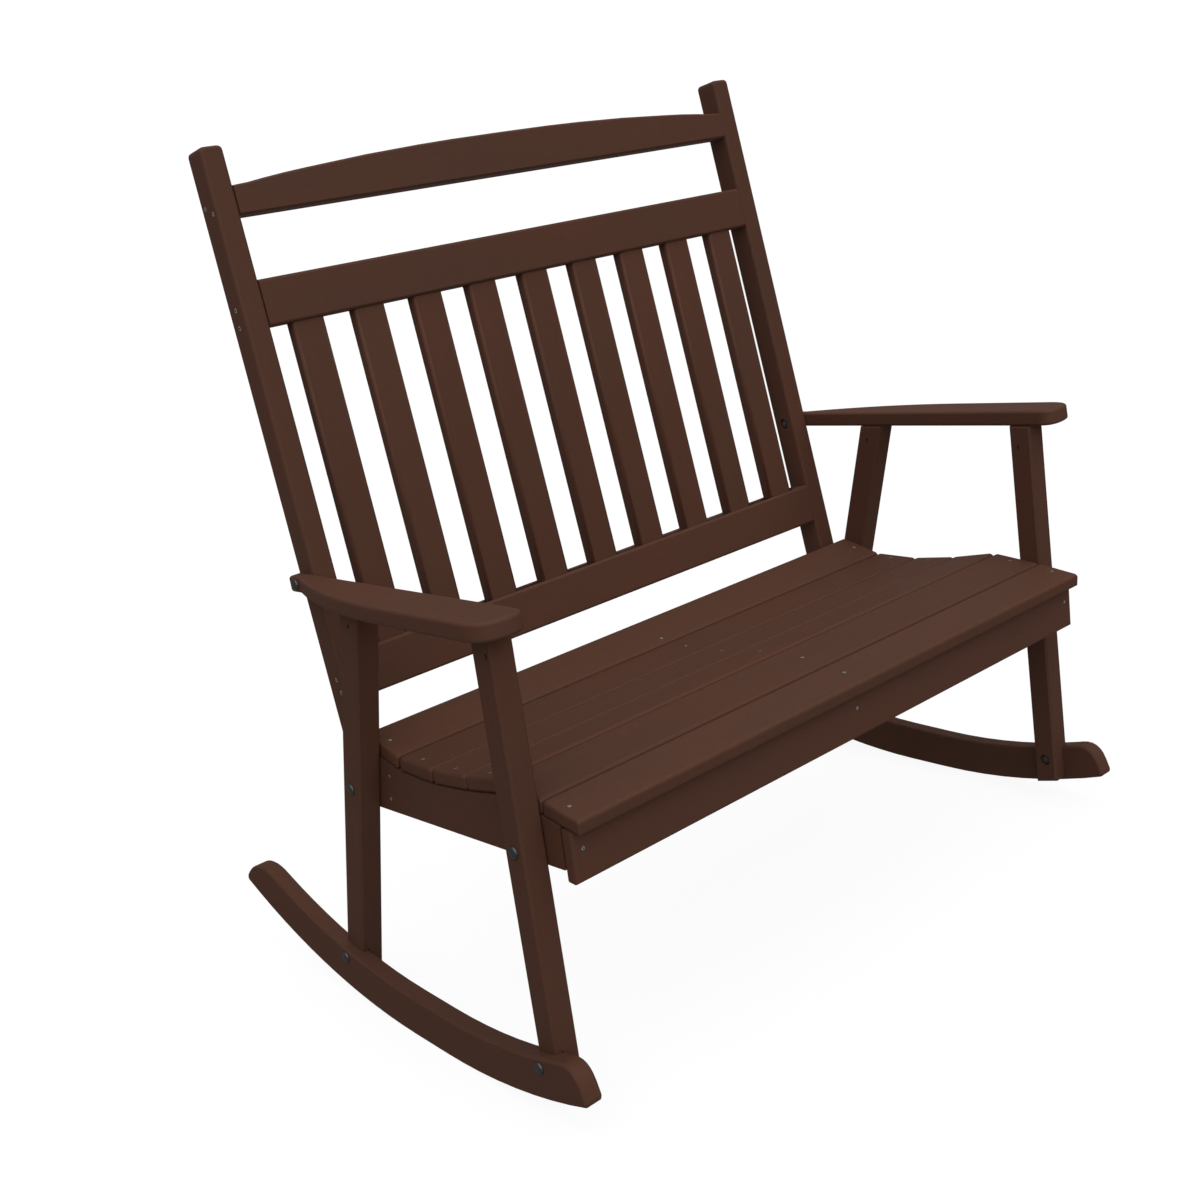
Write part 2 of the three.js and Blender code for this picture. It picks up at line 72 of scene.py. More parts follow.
# Light: directions are in degrees above the floor, and from straight ahead towards the right
MAIN_LIGHT = (55, -22)
BACK_LIGHT = (20, 141)
LOW_LIGHT = (-75, -34)  # stands for what a white floor sends up
LIGHTS = {  # direction, share of full light, and whether it casts shadows
    "main light": (MAIN_LIGHT, 1.00, True),
    "back light": (BACK_LIGHT, 0.38, True),
    "low light": (LOW_LIGHT, 0.16, False),
}
LIGHT_SPREAD = 100  # degrees across each light, which keeps its shadows soft
FILL = 0.20  # share of full light that comes from all round
FLOOR_TONE = 0.09
FLOOR_GLOW = 0.92  # the floor is lit from within as well, which keeps the shadows on it faint
FLOOR_SIZE = 60.0

# Shape of the boards
WELD = 0.01 * MM
FLAT_ANGLE = math.radians(0.3)
FACING = 0.8  # share of a face's normal that lies in a direction, for the face to look that way
EDGE_ROUND = 2.07 * MM  # bevel on both borders of each eased edge, which leaves it fully round
SAWN_EDGE_ROUND = 0.25 * MM  # square saw cuts are only just broken
SLAT_END_ROUND = 3.6 * MM  # the seat slats' ends are eased as well, except underneath
EASED_ANGLES = (math.radians(25), math.radians(58))  # at the borders of eased edges; saw cuts are sharper
UNDERSIDE = -0.5  # upward share of the normal of a face that counts as an underside
ROUND_STEPS = 3
SLAT_ROUND = 5.1 * MM  # radius on the back slats, as round as the other boards' eased edges come out
SLAT_ROUND_STEPS = 5

# Surface of the boards: pattern sizes are along a board and across it both ways
LUMBER_BROWN = ("#4D3429", "#513428")
HOLE_SHADE_BROWN = ("#33211B", "#36221B")  # the plastic's brown darkened as painted shade, for the walls of drilled holes
LUMBER_ROUGHNESS = (0.54, 0.62)
LUMBER_IOR = 1.50
LUMBER_SPECULAR = 0.09
CLOUD_SIZE = (260 * MM, 90 * MM, 90 * MM)  # longer than a hand and about as wide as a board
FLECK_SIZE = (14 * MM, 5 * MM, 5 * MM)  # coarser than real ones, so that they show
DIE_LINE_SIZE = (380 * MM, 2.5 * MM, 2.5 * MM)  # several times coarser than real ones, so that they show
PEEL_SIZE = (5 * MM, 4 * MM, 4 * MM)  # coarser than real, so that it shows
PEEL_SHARE = 0.5  # of the depth of the die lines
CLOUD_RANGE = (0.3, 0.65)
FLECK_RANGE = (0.35, 0.65)
NOISE_RANGE = (0.3, 0.7)  # where most of a noise's values lie
NOISE_ROUGHNESS = 0.55
BATCH_TONES = (0.955, 1.045)
FLECK_TONES = (0.975, 1.025)
LUMBER_BUMP = 0.06
LUMBER_RELIEF = 0.06 * MM
BOARD_SHIFT = 7.31  # between the patterns of two boards, in the noise's fourth direction

# Surface of the steel
DULLING = (-0.06, 0.1)  # change of roughness from the shiniest spots to the dullest
STEEL_TONES = (0.88, 1.08)
STEEL_BUMP = 0.25
STEEL_RELIEF = 0.05 * MM
RECESS_SHADE_TONE = 0.08  # painted shade inside a screw's drive

# Screws, in recessed holes
SEAT_SCREW_HEAD = 5.2 * MM
BACK_SCREW_HEAD = 7.4 * MM  # heavier screws, through the stiles
SCREW_HEAD_HEIGHT = 2.4 * MM
SCREW_HEAD_SIDES = 24
SCREW_RIM = 0.35 * MM  # height of the slope round the head's top
RIM_SHARE = 0.88  # of the head's width, inside its sloping rim
SCREW_SINK = 0.25 * MM  # from the board's face down to the head
SCREW_SHANK = 4.2 * MM
SCREW_SHANK_SIDES = 12
SCREW_LENGTH = 45 * MM
DRIVE_SHARE = 0.6  # of the width inside the rim
DRIVE_DEPTH = 1.9 * MM
DRIVE_LOBES = 6
DRIVE_LOBE_SHARE = 0.13
HOLE_MARGIN = 0.6 * MM  # round the head
HOLE_DEPTH = 3.4 * MM
DRILL_SIDES = 24

SEAT_SCREW_INSET = 17.3 * MM  # from the ends of a slat
SEAT_SCREW_SHARE = 0.53  # of a slat's width, from its front edge
REAR_MIDDLE_SCREW_SHARE = 0.2
APRON_SCREW_INSET = 16.7 * MM
APRON_SCREW_DROP = 27 * MM
BEAM_SCREWS = ((-53 * MM, 17.6 * MM), (-44 * MM, -19.9 * MM))  # from the rear leg's seat bolt
STILE_SCREWS = (  # below the stile's top and behind its front face, two at each rail
    (83.7 * MM, 33 * MM),
    (95 * MM, 12 * MM),
    (235 * MM, 22.6 * MM),
    (261.3 * MM, 25.4 * MM),
    (797 * MM, 18.8 * MM),
    (816.9 * MM, 14 * MM),
)

# Pocket holes near the tops of the legs, where screws run up into the arm
POCKET_WIDTH = 4.4 * MM
POCKET_ANGLE = math.radians(30)  # from the face of the leg
POCKET_REACH = 16 * MM
LEG_POCKETS = {  # below the leg's top and ahead of its centre line, outer face then inner face
    "rear": ((39 * MM, 1.5 * MM), (36 * MM, -2.5 * MM)),
    "front": ((31 * MM, 11 * MM), (38 * MM, -4.6 * MM)),
}

# Bolts and nuts
BOLT_PLACES = ("arm_stile", "rear_seat", "front_seat", "rear_rocker", "front_rocker")
BOLT_HEAD_HEIGHT = 4 * MM
BOLT_HEAD_SIDES = 32
BOLT_HEAD_RINGS = 20
BOLT_NECK = 8 * MM
BOLT_NECK_LENGTH = 4.5 * MM
BOLT_SHANK = 7.8 * MM
BOLT_SHANK_SIDES = 24
THREAD_LENGTH = 20 * MM
THREAD_PITCH = 1.25 * MM
THREAD_DEPTH_SHARE = 0.1  # of the shank's radius
THREAD_TURN_STEPS = 6  # rings of points in each turn
NUT_FLATS = 13 * MM
NUT_CHAMFER = 0.9 * MM
NUT_TOP_SHARE = 0.88  # of the nut's width, inside its chamfer
NUT_FLANGE = 17 * MM
NUT_FLANGE_HEIGHT = 1.5 * MM
NUT_FLANGE_SIDES = 32
FLATS_TO_FLANGE_TOP = 1.9  # the nut's width across flats, over its flange's radius at the top

# Node trees
MATHS = "ShaderNodeMath"
VECTOR_MATHS = "ShaderNodeVectorMath"
COMBINE = "ShaderNodeCombineXYZ"
RANGE = "ShaderNodeMapRange"
JOIN = "GeometryNodeJoinGeometry"


def add(tree, kind, inputs=(), **settings):
    """One node of a tree: its settings, and its inputs by name or in their order. Each input is a value,
    the node or socket that it comes from, or a list of these where the socket takes several."""
    node = tree.nodes.new(kind)
    for name, value in settings.items():
        setattr(node, name, value)
    if not isinstance(inputs, dict):
        inputs = dict(enumerate(inputs))
    for socket, value in inputs.items():
        for source in value if isinstance(value, list) else [value]:
            if isinstance(source, bpy.types.Node):
                source = source.outputs[0]
            if isinstance(source, bpy.types.NodeSocket):
                tree.links.new(source, node.inputs[socket])
            else:
                node.inputs[socket].default_value = source
    return node


def srgb(code):
    """A hex colour as linear red, green, blue and alpha."""
    channels = [int(code[i : i + 2], 16) / 255 for i in (1, 3, 5)]
    linear = [c / 12.92 if c <= 0.04045 else ((c + 0.055) / 1.055) ** 2.4 for c in channels]
    return (*linear, 1)


# Materials


def grain_turn(along):
    """The rotation that lays a pattern's X axis along a board."""
    other = UP if along == ACROSS else ACROSS
    side = other.cross(along).normalized()
    return Matrix((along, side, along.cross(side))).transposed().to_euler()


def poly_lumber(name, along, browns=LUMBER_BROWN):
    """Recycled HDPE lumber, extruded through a die: brown all through, with a dull sheen, faint drawn lines
    and soft clouds of pigment along the board."""
    material = bpy.data.materials.new(name)
    material.use_nodes = True
    tree = material.node_tree
    tree.nodes.clear()
    place = add(tree, "ShaderNodeTexCoord").outputs["Object"]
    board = add(tree, "ShaderNodeAttribute", attribute_name="board")
    turn = grain_turn(along)

    def pattern(sizes, detail, seed):
        """Noise drawn out along the board, with features of a given length, width and depth."""
        spread = add(
            tree,
            "ShaderNodeMapping",
            {"Vector": place, "Rotation": turn, "Scale": sizes},
            vector_type="TEXTURE",
        )
        offset = add(tree, MATHS, (board.outputs["Fac"], BOARD_SHIFT, seed), operation="MULTIPLY_ADD")
        inputs = {
            "Vector": spread,
            "W": offset,
            "Scale": 1,
            "Detail": detail,
            "Roughness": NOISE_ROUGHNESS,
        }
        return add(tree, "ShaderNodeTexNoise", inputs, noise_dimensions="4D")

    # Soft clouds of pigment
    clouds = pattern(CLOUD_SIZE, detail=1, seed=0.0)
    clouded = add(tree, RANGE, (clouds, *CLOUD_RANGE, 0, 1))
    base = add(
        tree,
        "ShaderNodeMix",
        {"Factor": clouded, "A": srgb(browns[0]), "B": srgb(browns[1])},
        data_type="RGBA",
    )
    # Each board is a little lighter or darker than its neighbours
    batch = add(tree, "ShaderNodeTexWhiteNoise", {"W": board.outputs["Fac"]}, noise_dimensions="1D")
    batch_tone = add(tree, RANGE, (batch, 0, 1, *BATCH_TONES))
    # Flecks of the recycled feed
    flecks = pattern(FLECK_SIZE, detail=2, seed=40.0)
    fleck_tone = add(tree, RANGE, (flecks, *FLECK_RANGE, *FLECK_TONES))
    tone = add(tree, MATHS, (batch_tone, fleck_tone), operation="MULTIPLY")
    toned = add(tree, VECTOR_MATHS, {0: base.outputs["Result"], "Scale": tone}, operation="SCALE")

    # Lines drawn by the die, and the orange peel of the skin
    lines = pattern(DIE_LINE_SIZE, detail=2, seed=80.0)
    peel = pattern(PEEL_SIZE, detail=1, seed=120.0)
    relief = add(tree, MATHS, (peel, PEEL_SHARE, lines), operation="MULTIPLY_ADD")
    bump_inputs = {"Height": relief, "Strength": LUMBER_BUMP, "Distance": LUMBER_RELIEF}
    bump = add(tree, "ShaderNodeBump", bump_inputs)
    sheen = add(tree, RANGE, (lines, *NOISE_RANGE, *LUMBER_ROUGHNESS))
    shader = add(
        tree,
        "ShaderNodeBsdfPrincipled",
        {
            "Base Color": toned.outputs["Vector"],
            "Roughness": sheen.outputs["Result"],
            "IOR": LUMBER_IOR,
            "Specular IOR Level": LUMBER_SPECULAR,
            "Normal": bump,
        },
    )
    add(tree, "ShaderNodeOutputMaterial", {"Surface": shader})
    return material


def steel(name, colour, metallic, roughness, patch, seed):
    """Coated or tumbled steel: a metal reflection, dulled in small patches where the surface is uneven.
    The less metallic it is, the more it scatters light as a matt coat does."""
    material = bpy.data.materials.new(name)
    material.use_nodes = True
    tree = material.node_tree
    tree.nodes.clear()
    place = add(tree, "ShaderNodeTexCoord").outputs["Object"]
    spots_inputs = {"Vector": place, "W": seed, "Scale": 1 / patch, "Detail": 3}
    spots = add(tree, "ShaderNodeTexNoise", spots_inputs, noise_dimensions="4D")
    roughnesses = [roughness + change for change in DULLING]
    dull = add(tree, RANGE, (spots, *NOISE_RANGE, *roughnesses))
    shade = add(tree, RANGE, (spots, *NOISE_RANGE, *STEEL_TONES))
    # A screw's drive recess is darkened inside: painted shade
    recess = add(tree, "ShaderNodeAttribute", attribute_name="recess").outputs["Fac"]
    painted_recess_shade = add(tree, RANGE, (recess, 0, 1, 1, RECESS_SHADE_TONE))
    tone = add(tree, MATHS, (shade, painted_recess_shade), operation="MULTIPLY")
    tinted = add(tree, VECTOR_MATHS, {0: srgb(colour)[:3], "Scale": tone}, operation="SCALE")
    bump = add(tree, "ShaderNodeBump", {"Height": spots, "Strength": STEEL_BUMP, "Distance": STEEL_RELIEF})
    shader = add(
        tree,
        "ShaderNodeBsdfPrincipled",
        {
            "Base Color": tinted.outputs["Vector"],
            "Metallic": metallic,
            "Roughness": dull.outputs["Result"],
            "Normal": bump,
        },
    )
    add(tree, "ShaderNodeOutputMaterial", {"Surface": shader})
    return material


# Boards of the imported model


def board_frame(node, facing, along):
    """A board's own axes and its sizes. X runs along it, Z out of its broad face, and the origin is at the
    corner of that face where X and Y are least."""
    mesh = nodes[node].data
    towards = [face for face in mesh.polygons if face.normal.dot(facing) > FACING]
    out = max(towards, key=lambda face: face.area).normal.copy()
    length = (along - along.dot(out) * out).normalized()
    turn = Matrix((length, out.cross(length), out)).transposed()
    corners = [turn.transposed() @ vertex.co for vertex in mesh.vertices]
    low = Vector([min(axis) for axis in zip(*corners)])
    high = Vector([max(axis) for axis in zip(*corners)])
    corner = turn @ Vector((low.x, low.y, high.z))
    return Matrix.Translation(corner) @ turn.to_4x4(), high - low


def put(name, mesh_data, material=None):
    """An object at the origin for a mesh."""
    thing = bpy.data.objects.new(name, mesh_data)
    bpy.context.scene.collection.objects.link(thing)
    if material:
        mesh_data.materials.clear()
        mesh_data.materials.append(material)
    return thing


def settle(thing):
    """The object's modifiers, worked into its mesh."""
    graph = bpy.context.evaluated_depsgraph_get()
    ready = thing.evaluated_get(graph)
    made = bpy.data.meshes.new_from_object(ready, preserve_all_data_layers=True, depsgraph=graph)
    thing.modifiers.clear()
    thing.data = made
    return thing


def cutter(name, drills, material):
    """Drill bits, whose material the holes take. Each is a point on a face, the direction out of the hole,
    its width, and its reach in and out."""
    shape = bmesh.new()
    for point, outward, width, inside, outside in drills:
        turn = outward.to_track_quat("Z", "Y").to_matrix().to_4x4()
        middle = point + outward * (outside - inside) / 2
        bmesh.ops.create_cone(
            shape,
            cap_ends=True,
            segments=DRILL_SIDES,
            radius1=width / 2,
            radius2=width / 2,
            depth=inside + outside,
            matrix=Matrix.Translation(middle) @ turn,
        )
    data = bpy.data.meshes.new(name)
    shape.to_mesh(data)
    shape.free()
    return put(name, data, material)


def finished_board(node, number, material, hole_shade_material, drills, end_round):
    """A packed board with its flat faces joined, its edges and ends rounded and its holes drilled."""
    widest = max(EDGE_ROUND, end_round)
    shape = bmesh.new()
    shape.from_mesh(nodes[node].data)
    bmesh.ops.remove_doubles(shape, verts=shape.verts, dist=WELD)
    bmesh.ops.dissolve_limit(shape, angle_limit=FLAT_ANGLE, verts=shape.verts, edges=shape.edges)
    weights = shape.edges.layers.float.new("bevel_weight_edge")
    for edge in shape.edges:
        angle = edge.calc_face_angle(0)
        if EASED_ANGLES[0] < angle < EASED_ANGLES[1]:
            edge[weights] = EDGE_ROUND / widest
        elif angle >= EASED_ANGLES[1]:
            underneath = min(face.normal.z for face in edge.link_faces) < UNDERSIDE
            edge[weights] = (SAWN_EDGE_ROUND if underneath else end_round) / widest
    data = bpy.data.meshes.new(node + "_board")
    shape.to_mesh(data)
    shape.free()
    data.shade_smooth()
    board = put(node + "_board", data, material)
    bevel = board.modifiers.new("rounded edges", "BEVEL")
    bevel.limit_method = "WEIGHT"
    bevel.width = widest
    bevel.segments = ROUND_STEPS
    bevel.use_clamp_overlap = True
    if drills:
        bits = cutter(node + "_drills", drills, hole_shade_material)
        drilled = board.modifiers.new("drilled", "BOOLEAN")
        drilled.object = bits
        drilled.operation = "DIFFERENCE"
        drilled.solver = "EXACT"
        # The holes' walls take the drill bits' darker material, which is painted shade
        drilled.material_mode = "TRANSFER"
    shaded = board.modifiers.new("flat faces kept flat", "WEIGHTED_NORMAL")
    shaded.keep_sharp = True
    settle(board)
    if drills:
        bpy.data.objects.remove(bits)
    # Every point has its board's number, which the lumber's patterns read
    numbers = board.data.attributes.new("board", "FLOAT", "POINT")
    numbers.data.foreach_set("value", [float(number)] * len(board.data.vertices))
    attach(board, "root")
    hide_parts(node)


# Screws: each a place on a board's face and the direction out of it


def seat_screws(node, shares):
    """Three screws along a seat slat, one at each share of its width."""
    place, size = board_frame(node, UP, ACROSS)
    out = place.to_3x3() @ UP
    runs = (SEAT_SCREW_INSET, size.x / 2, size.x - SEAT_SCREW_INSET)
    return [(place @ Vector((run, share * size.y, 0)), out) for run, share in zip(runs, shares)]


def apron_screws():
    """Three screws along the seat apron."""
    place, size = board_frame("seat_apron", AHEAD, ACROSS)
    out = place.to_3x3() @ UP
    runs = (APRON_SCREW_INSET, size.x / 2, size.x - APRON_SCREW_INSET)
    return [(place @ Vector((run, size.y - APRON_SCREW_DROP, 0)), out) for run in runs]


def beam_screws(side):
    """Two screws through a seat beam into the rear crossboard, ahead of the rear leg."""
    out = ACROSS * SIDES[side]
    low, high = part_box("rear_seat_bolt_" + side)
    bolt = (low + high) / 2
    low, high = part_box("seat_side_beam_" + side)
    face = high.x if SIDES[side] > 0 else low.x
    return [(Vector((face, bolt.y + back, bolt.z + rise)), out) for back, rise in BEAM_SCREWS]


def stile_screws(side):
    """Six screws through the outer face of a back stile into the ends of the rails."""
    place, size = board_frame("back_stile_" + side, AHEAD, UP)
    across = 0 if SIDES[side] > 0 else size.y
    out = ACROSS * SIDES[side]
    return [(place @ Vector((size.x - drop, across, -depth)), out) for drop, depth in STILE_SCREWS]


def screw_drills(screws, head):
    """Holes for screws, wider than their heads."""
    return [(point, out, head + 2 * HOLE_MARGIN, HOLE_DEPTH, HOLE_DEPTH) for point, out in screws]


def pocket_drills(end, side):
    """Two pocket holes that run up and into a leg, one from each face."""
    node = f"{end}_leg_{side}"
    low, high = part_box(node)
    place, size = board_frame(node, AHEAD, UP)
    upward = place.to_3x3() @ ACROSS
    middle = place @ Vector((size.x, size.y / 2, -size.z / 2))
    drills = []
    for facing, (drop, ahead) in zip((SIDES[side], -SIDES[side]), LEG_POCKETS[end]):
        face = high.x if facing > 0 else low.x
        spot = middle - upward * drop + AHEAD * ahead
        spot.x = face
        outward = ACROSS * facing * math.sin(POCKET_ANGLE) - upward * math.cos(POCKET_ANGLE)
        drills.append((spot, outward, POCKET_WIDTH, POCKET_REACH, POCKET_REACH))
    return drills


# Things that geometry nodes repeat


def new_tree(name, sizes):
    """A geometry node tree with a material input and a named input for each size."""
    tree = bpy.data.node_groups.new(name, "GeometryNodeTree")
    tree.interface.new_socket("Geometry", in_out="OUTPUT", socket_type="NodeSocketGeometry")
    tree.interface.new_socket("Geometry", in_out="INPUT", socket_type="NodeSocketGeometry")
    tree.interface.new_socket("Material", in_out="INPUT", socket_type="NodeSocketMaterial")
    for label, value in sizes.items():
        kind = "NodeSocketInt" if isinstance(value, int) else "NodeSocketFloat"
        tree.interface.new_socket(label, in_out="INPUT", socket_type=kind)
    return tree, add(tree, "NodeGroupInput").outputs


def run_tree(thing, tree, material, sizes):
    """Runs a tree on an object, with its material and sizes, and leaves a plain mesh."""
    maker = thing.modifiers.new(tree.name, "NODES")
    maker.node_group = tree
    values = {"Material": material, **sizes}
    for socket in tree.interface.items_tree:
        if socket.in_out == "INPUT" and socket.name in values:
            maker[socket.identifier] = values[socket.name]
    return settle(thing)


def raised(tree, geometry, height):
    """The geometry moved along Z."""
    move = add(tree, COMBINE, {"Z": height})
    return add(tree, "GeometryNodeTransform", {"Geometry": geometry, "Translation": move})


def on_points(tree, points, thing, scale=None):
    """A copy of a thing on each point, its Z axis turned to the point's outward direction."""
    outward = add(tree, "GeometryNodeInputNamedAttribute", {"Name": "outward"}, data_type="FLOAT_VECTOR")
    turn = add(tree, "FunctionNodeAlignRotationToVector", {"Vector": outward}, axis="Z")
    inputs = {"Points": points, "Instance": thing, "Rotation": turn}
    if scale:
        inputs["Scale"] = scale
    return add(tree, "GeometryNodeInstanceOnPoints", inputs)


def finish_tree(tree, geometry, material):
    """Turns instances into faces and gives them their material."""
    real = add(tree, "GeometryNodeRealizeInstances", {"Geometry": geometry})
    coloured = add(tree, "GeometryNodeSetMaterial", {"Geometry": real, "Material": material})
    add(tree, "NodeGroupOutput", {"Geometry": coloured})


def shrunk_top(tree, mesh, top, height, share):
    """The top face raised and drawn in, which leaves a sloping rim round it."""
    lifted = add(
        tree,
        "GeometryNodeExtrudeMesh",
        {"Mesh": mesh, "Selection": top, "Offset Scale": height},
        mode="FACES",
    )
    inputs = {"Geometry": lifted, "Selection": lifted.outputs["Top"], "Scale": share}
    drawn_in = add(tree, "GeometryNodeScaleElements", inputs, domain="FACE")
    return drawn_in.outputs[0], lifted.outputs["Top"]


def screw_tree(sizes):
    """A countersunk wood screw with a six-lobed drive, on each point."""
    tree, given = new_tree("wood screws", sizes)
    radius = add(tree, MATHS, (given["Head width"], 2), operation="DIVIDE")
    disc_inputs = {"Vertices": SCREW_HEAD_SIDES, "Radius": radius, "Depth": given["Head height"]}
    disc = add(tree, "GeometryNodeMeshCylinder", disc_inputs)
    rim, top = shrunk_top(tree, disc.outputs["Mesh"], disc.outputs["Top"], given["Rim height"], RIM_SHARE)
    face, top = shrunk_top(tree, rim, top, 0, given["Drive share"])

    # The face's middle is pushed in and out by turns into lobes, and then sunk
    spot = add(tree, "GeometryNodeInputPosition")
    split = add(tree, "ShaderNodeSeparateXYZ", (spot,))
    angle = add(tree, MATHS, (split.outputs["Y"], split.outputs["X"]), operation="ARCTAN2")
    lobes = add(tree, MATHS, (angle, DRIVE_LOBES), operation="MULTIPLY")
    wave = add(tree, MATHS, (lobes,), operation="COSINE")
    push = add(tree, MATHS, (wave, given["Lobe share"]), operation="MULTIPLY")
    flat = add(tree, COMBINE, (split.outputs["X"], split.outputs["Y"]))
    offset = add(tree, VECTOR_MATHS, {0: flat, "Scale": push}, operation="SCALE")
    lobed = add(tree, "GeometryNodeSetPosition", {"Geometry": face, "Selection": top, "Offset": offset})
    sunk_by = add(tree, MATHS, (given["Drive depth"], -1), operation="MULTIPLY")
    sunk_inputs = {"Mesh": lobed, "Selection": top, "Offset Scale": sunk_by}
    sunk = add(tree, "GeometryNodeExtrudeMesh", sunk_inputs, mode="FACES")
    sunk_faces = (sunk.outputs["Top"], sunk.outputs["Side"])
    inside = add(tree, "FunctionNodeBooleanMath", sunk_faces, operation="OR")
    # The drive's sunk faces are marked for the steel's painted shade
    marked = {"Geometry": sunk, "Name": "recess", "Selection": inside, "Value": 1.0}
    head = add(tree, "GeometryNodeStoreNamedAttribute", marked, data_type="FLOAT", domain="FACE")

    half_head = add(tree, MATHS, (given["Head height"], 2), operation="DIVIDE")
    head_above = add(tree, MATHS, (half_head, given["Rim height"]), operation="ADD")
    head_down = add(tree, MATHS, (head_above, -1), operation="MULTIPLY")
    shank_radius = add(tree, MATHS, (given["Shank width"], 2), operation="DIVIDE")
    shank_inputs = {"Vertices": SCREW_SHANK_SIDES, "Radius": shank_radius, "Depth": given["Length"]}
    shank = add(tree, "GeometryNodeMeshCylinder", shank_inputs)
    shank_middle = add(tree, MATHS, (given["Length"], -2), operation="DIVIDE")
    shank_down = add(tree, MATHS, (shank_middle, given["Head height"]), operation="SUBTRACT")
    parts = [raised(tree, head, head_down), raised(tree, shank, shank_down)]
    screw = add(tree, JOIN, {"Geometry": parts})
    finish_tree(tree, on_points(tree, given["Geometry"], screw), given["Material"])
    return tree


def bolt_tree(sizes):
    """A carriage bolt with a domed head, a square neck and a thread, on each point."""
    tree, given = new_tree("carriage bolts", sizes)
    head_radius = add(tree, MATHS, (given["Head width"], 2), operation="DIVIDE")
    ball_inputs = {"Segments": BOLT_HEAD_SIDES, "Rings": BOLT_HEAD_RINGS, "Radius": head_radius}
    ball = add(tree, "GeometryNodeMeshUVSphere", ball_inputs)
    spot = add(tree, "GeometryNodeInputPosition")
    split = add(tree, "ShaderNodeSeparateXYZ", (spot,))
    squash = add(tree, MATHS, (given["Head height"], head_radius), operation="DIVIDE")
    upper_half = add(tree, MATHS, (split.outputs["Z"], 0), operation="MAXIMUM")
    height = add(tree, MATHS, (upper_half, squash), operation="MULTIPLY")
    domed = add(tree, COMBINE, (split.outputs["X"], split.outputs["Y"], height))
    dome = add(tree, "GeometryNodeSetPosition", {"Geometry": ball, "Position": domed})
    smooth = add(tree, "GeometryNodeSetShadeSmooth", {"Geometry": dome})

    width = given["Neck width"]
    neck_size = add(tree, COMBINE, (width, width, given["Neck length"]))
    neck = add(tree, "GeometryNodeMeshCube", {"Size": neck_size})
    neck_down = add(tree, MATHS, (given["Neck length"], -2), operation="DIVIDE")
    head = add(tree, JOIN, {"Geometry": [smooth, raised(tree, neck, neck_down)]})

    # A plain shank one unit long is stretched to each bolt's own length, less its thread
    radius = add(tree, MATHS, (given["Shank width"], 2), operation="DIVIDE")
    rod_inputs = {"Vertices": BOLT_SHANK_SIDES, "Radius": radius, "Depth": 1}
    rod = add(tree, "GeometryNodeMeshCylinder", rod_inputs)
    length = add(tree, "GeometryNodeInputNamedAttribute", {"Name": "length"}, data_type="FLOAT")
    plain = add(tree, MATHS, (length, given["Thread length"]), operation="SUBTRACT")
    stretch = add(tree, COMBINE, (1, 1, plain))
    points = given["Geometry"]
    shanks = on_points(tree, points, raised(tree, rod, -0.5), stretch)

    # The thread is a cylinder whose radius falls and rises once in each turn of a helix
    thread_inputs = {
        "Vertices": BOLT_SHANK_SIDES,
        "Side Segments": given["Thread rings"],
        "Radius": radius,
        "Depth": given["Thread length"],
    }
    thread = add(tree, "GeometryNodeMeshCylinder", thread_inputs)
    turns = add(tree, MATHS, (split.outputs["Z"], given["Thread pitch"]), operation="DIVIDE")
    round_by = add(tree, MATHS, (split.outputs["Y"], split.outputs["X"]), operation="ARCTAN2")
    part_turn = add(tree, MATHS, (round_by, 2 * math.pi), operation="DIVIDE")
    phase = add(tree, MATHS, (turns, part_turn), operation="SUBTRACT")
    groove = add(tree, MATHS, (phase, 0.5), operation="PINGPONG")
    deepest = add(tree, MATHS, (given["Thread depth share"], -2), operation="MULTIPLY")
    depth = add(tree, MATHS, (groove, deepest), operation="MULTIPLY")
    flat = add(tree, COMBINE, (split.outputs["X"], split.outputs["Y"]))
    inward = add(tree, VECTOR_MATHS, {0: flat, "Scale": depth}, operation="SCALE")
    cut = add(tree, "GeometryNodeSetPosition", {"Geometry": thread, "Offset": inward})
    half_thread = add(tree, MATHS, (given["Thread length"], -2), operation="DIVIDE")
    threads = on_points(tree, points, raised(tree, cut, half_thread))
    plain_down = add(tree, MATHS, (plain, -1), operation="MULTIPLY")
    to_end = add(tree, COMBINE, {"Z": plain_down})
    move_inputs = {"Instances": threads, "Translation": to_end, "Local Space": True}
    moved = add(tree, "GeometryNodeTranslateInstances", move_inputs)
    bolts = add(tree, JOIN, {"Geometry": [on_points(tree, points, head), shanks, moved]})
    finish_tree(tree, bolts, given["Material"])
    return tree


def nut_tree(sizes):
    """A flanged hexagon nut on each point, standing on its flange."""
    tree, given = new_tree("flange nuts", sizes)
    corner = add(tree, MATHS, (given["Across flats"], 2 * math.cos(math.pi / 6)), operation="DIVIDE")
    body_height = add(tree, MATHS, (given["Height"], given["Chamfer"]), operation="SUBTRACT")
    hexagon = add(tree, "GeometryNodeMeshCylinder", {"Vertices": 6, "Radius": corner, "Depth": body_height})
    top = hexagon.outputs["Top"]
    chamfered, _ = shrunk_top(tree, hexagon.outputs["Mesh"], top, given["Chamfer"], NUT_TOP_SHARE)
    half_height = add(tree, MATHS, (body_height, 2), operation="DIVIDE")
    flange_inputs = {
        "Vertices": NUT_FLANGE_SIDES,
        "Radius Top": add(tree, MATHS, (given["Across flats"], FLATS_TO_FLANGE_TOP), operation="DIVIDE"),
        "Radius Bottom": add(tree, MATHS, (given["Flange width"], 2), operation="DIVIDE"),
        "Depth": given["Flange height"],
    }
    flange = add(tree, "GeometryNodeMeshCone", flange_inputs)
    nut = add(tree, JOIN, {"Geometry": [raised(tree, chamfered, half_height), flange]})
    finish_tree(tree, on_points(tree, given["Geometry"], nut), given["Material"])
    return tree


